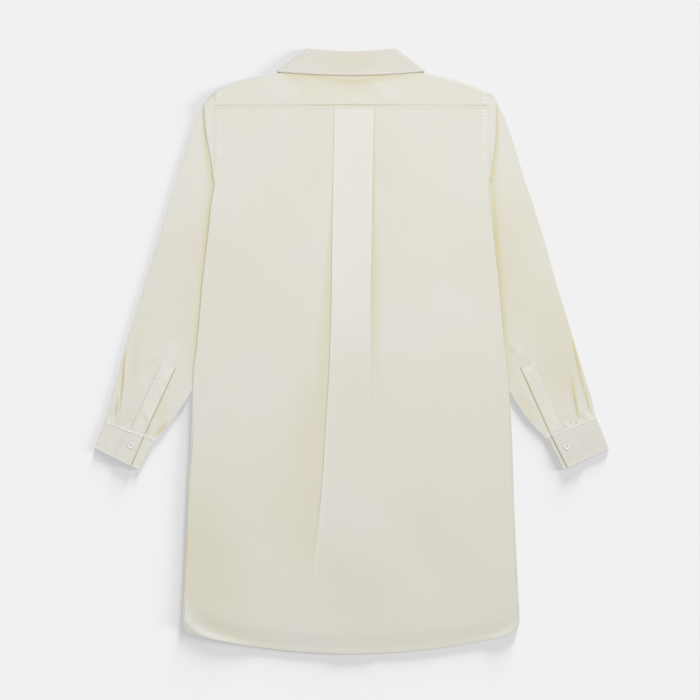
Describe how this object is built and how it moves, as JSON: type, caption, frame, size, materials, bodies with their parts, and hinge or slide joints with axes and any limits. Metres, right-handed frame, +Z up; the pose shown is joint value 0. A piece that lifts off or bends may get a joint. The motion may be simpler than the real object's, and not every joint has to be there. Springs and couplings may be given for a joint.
{
  "type": "nightshirt",
  "caption": "Long-sleeved cream satin nightshirt laid flat on its front: turned-down collar, yoke, centre-back box pleat, buttoned cuffs and a curved shirttail hem.",
  "frame": {"origin": "centre of the garment's outline, on the surface it lies on", "axes": "+Y from hem to collar, +X towards the wearer's right sleeve, +Z up out of the back, which lies uppermost"},
  "size_m": [0.824, 0.9708, 0.0081],
  "materials": {
    "cloth": "cream satin with a soft sheen, smooth side out",
    "button": "pale pearl, glossy"
  },
  "bodies": {
    "root": {"back": "cloth", "yoke": "cloth", "front_right": "cloth", "front_left": "cloth", "sleeve_left": "cloth", "sleeve_right": "cloth", "cuff_left": "cloth", "cuff_right": "cloth", "sleeve_placket_left": "cloth", "sleeve_placket_right": "cloth", "collar": "cloth", "collar_stand": "cloth", "cuff_button_left": "button", "cuff_button_right": "button", "front_button_1": "button", "front_button_2": "button", "front_button_3": "button", "front_button_4": "button", "front_button_5": "button", "front_button_6": "button", "front_button_7": "button", "front_button_8": "button"}
  },
  "joints": []
}
